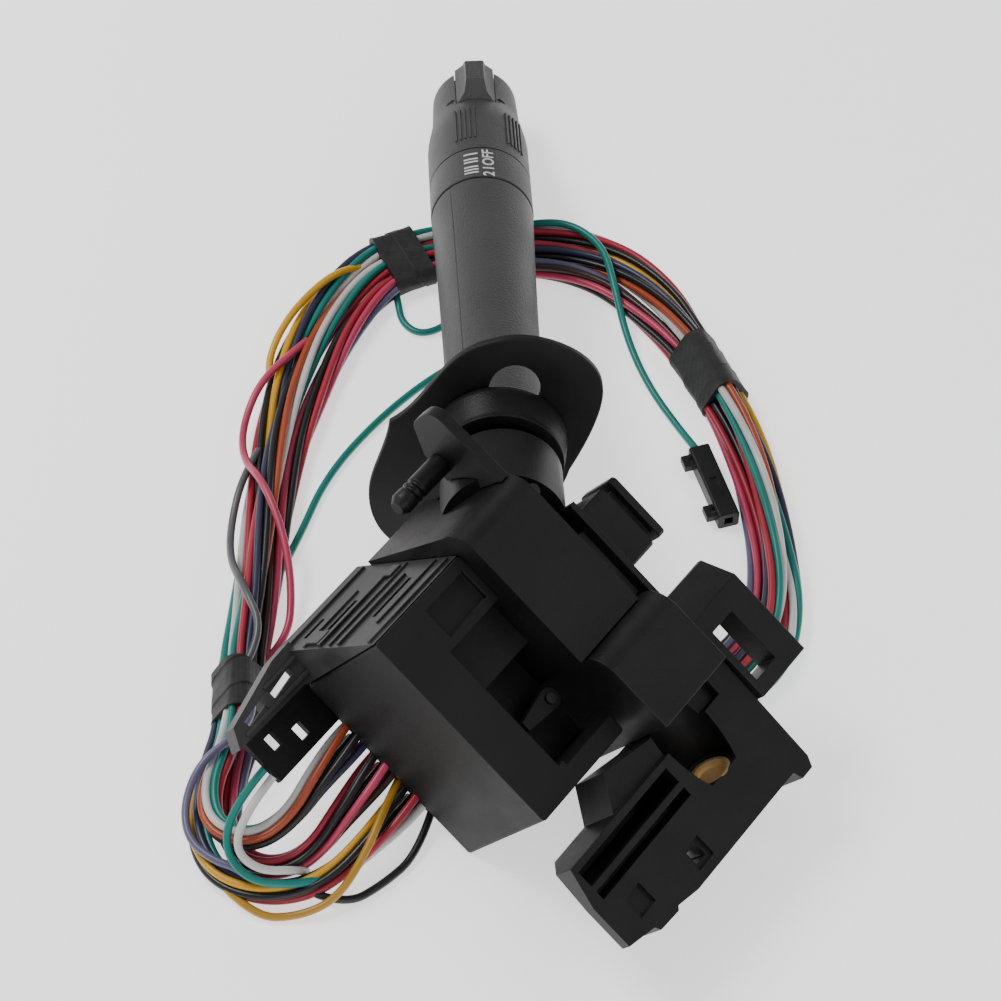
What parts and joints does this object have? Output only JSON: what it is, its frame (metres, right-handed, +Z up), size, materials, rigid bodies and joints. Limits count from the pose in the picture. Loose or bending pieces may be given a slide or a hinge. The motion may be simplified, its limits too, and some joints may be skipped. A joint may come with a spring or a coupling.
{
  "type": "combination stalk switch",
  "caption": "Column stalk switch: grey lever with turning knob and washer paddle, leaf-shaped shield, black switch case, mounting bracket, hazard button and a looped wiring harness.",
  "frame": {"origin": "on the bench it lies on, below the middle of the rigid part's box, cords left out", "axes": "+Z up from the bench, +Y along the lever towards its knob as seen from above, +X to the right"},
  "size_m": [0.1763, 0.3224, 0.091],
  "materials": {
    "black_plastic": "fine grain",
    "grey_plastic": "grained",
    "cover_grey": "brushed look",
    "board": "laminate",
    "brass": "bright",
    "steel": "plain",
    "tape": "cloth tape",
    "wires": "mixed insulation colours",
    "wire_teal": "insulation",
    "wire_lavender": "insulation",
    "wire_ochre": "insulation",
    "wire_black": "insulation",
    "wire_pink": "insulation",
    "wire_grey": "insulation",
    "wire_yellow": "insulation"
  },
  "bodies": {
    "switch_body": {"switch_case": "black_plastic", "terminal_block": "black_plastic", "contact_board": "board", "pivot_housing": "black_plastic", "peg_ear": "black_plastic", "locating_peg": "black_plastic", "pivot_base": "black_plastic", "base_screws": "steel", "trunnion_pins": "steel", "detent_cam": "black_plastic", "side_cover": "cover_grey", "bracket_knuckle": "black_plastic", "mount_bracket": "black_plastic", "column_bush": "brass", "wire_hook": "black_plastic", "rail_inner": "cover_grey", "rail_spacer": "cover_grey", "rail_outer": "black_plastic", "hazard_housing": "black_plastic", "hazard_spring": "steel", "pawl_pin": "steel", "harness_outer": "wires", "harness_inner": "wires", "harness_top": "wires", "lead_wire": "wire_teal", "lavender_wire": "wire_lavender", "ochre_wire": "wire_ochre", "black_wire": "wire_black", "pink_wire": "wire_pink", "grey_wire": "wire_grey", "yellow_wire": "wire_yellow", "teal_wire": "wire_teal", "loop_wire_grey": "wire_grey", "loop_wire_teal": "wire_teal", "tape_left": "tape", "tape_top": "tape", "tape_right": "tape", "main_connector": "black_plastic", "lead_connector": "black_plastic"},
    "carrier": {"turn_carrier": "black_plastic", "flash_pin": "steel"},
    "lever": {"lever_root": "black_plastic", "shield_collar": "black_plastic", "lever_shield": "black_plastic", "lever_grip": "grey_plastic", "lever_core": "steel", "knob_spindle": "steel", "marking_ring": "grey_plastic", "detent_spring": "steel"},
    "plunger": {"detent_plunger": "steel"},
    "knob": {"wiper_knob": "grey_plastic", "paddle_pin": "steel"},
    "paddle": {"washer_paddle": "grey_plastic"},
    "hazard": {"hazard_button": "black_plastic"},
    "pawl": {"cancel_pawl": "black_plastic"}
  },
  "joints": [
    {"name": "turn_signal", "type": "hinge", "parent": "switch_body", "child": "carrier", "pos_m": [-0.00199, -0.04228, 0.05809], "axis": [0.4118, -0.3335, 0.848], "range_deg": [0, 15]},
    {"name": "beam_flash", "type": "hinge", "parent": "carrier", "child": "lever", "pos_m": [-0.00199, -0.04228, 0.05809], "axis": [0.8772, -0.107, -0.4681], "range_deg": [0, 6], "stiffness_Nm_per_rad": 3, "springref_deg": -2.86},
    {"name": "detent_travel", "type": "slide", "parent": "lever", "child": "plunger", "axis": [0, 0.9748, -0.2229], "range_m": [0, 0.0006], "stiffness_N_per_m": 600, "springref_m": -0.001, "deforming": ["detent_spring"]},
    {"name": "wiper_turn", "type": "hinge", "parent": "lever", "child": "knob", "pos_m": [-0.00199, 0.12345, 0.0202], "axis": [0, 0.9748, -0.2229], "range_deg": [0, 75]},
    {"name": "washer_press", "type": "hinge", "parent": "knob", "child": "paddle", "pos_m": [-0.00199, 0.14276, 0.02747], "axis": [-1, 0, 0], "range_deg": [0, 6], "stiffness_Nm_per_rad": 0.2, "springref_deg": -5.73},
    {"name": "hazard_press", "type": "slide", "parent": "switch_body", "child": "hazard", "axis": [-0.6293, -0.7771, 0], "range_m": [0, 0.0028], "stiffness_N_per_m": 400, "springref_m": -0.002, "deforming": ["hazard_spring"]},
    {"name": "cancel_swing", "type": "hinge", "parent": "switch_body", "child": "pawl", "pos_m": [0.00749, -0.09345, 0.04103], "axis": [0.4118, -0.3335, 0.848], "range_deg": [-12, 12], "stiffness_Nm_per_rad": 0.02}
  ]
}
